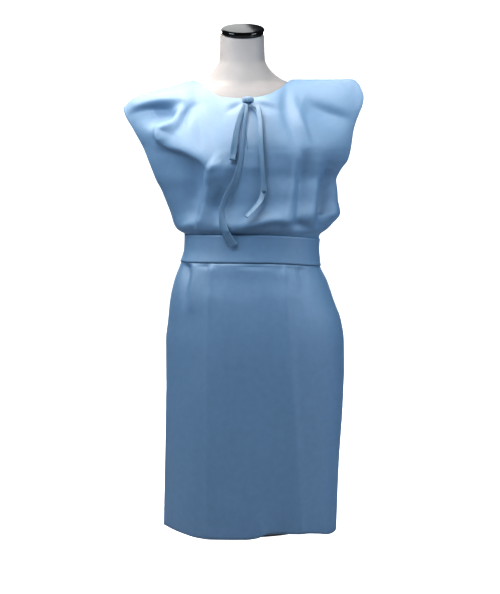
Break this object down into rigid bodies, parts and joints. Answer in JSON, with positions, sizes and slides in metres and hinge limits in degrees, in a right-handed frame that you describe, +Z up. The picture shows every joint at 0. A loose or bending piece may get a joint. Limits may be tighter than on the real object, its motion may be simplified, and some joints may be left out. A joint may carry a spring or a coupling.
{
  "type": "exam gown on a limbless dress form",
  "caption": "Sleeveless nonwoven exam gown with a neck bow and a wrapped belt, on a headless, limbless dress form with a short hidden stand.",
  "frame": {"origin": "on the floor, under the stand's pole, at the underside of the base plate", "axes": "+Z up, the gown faces -Y, and +X is to the right as it is seen from the front"},
  "size_m": [0.553, 0.2805, 1.1887],
  "materials": {
    "gown_cloth": "matte",
    "belt_cloth": "matte",
    "tie_cloth": "matte",
    "form_cover": "matte",
    "cap_plastic": "gloss",
    "pole_metal": "satin",
    "base_metal": "satin"
  },
  "bodies": {
    "root": {"front_panel": "gown_cloth", "back_panel": "gown_cloth", "belt": "belt_cloth", "tie_knot": "tie_cloth", "tie_loop_left": "tie_cloth", "tie_loop_right": "tie_cloth", "tie_tail_left": "tie_cloth", "tie_tail_right": "tie_cloth", "dress_form": "form_cover", "neck_cap": "cap_plastic", "stand_pole": "pole_metal", "stand_base": "base_metal"}
  },
  "joints": []
}
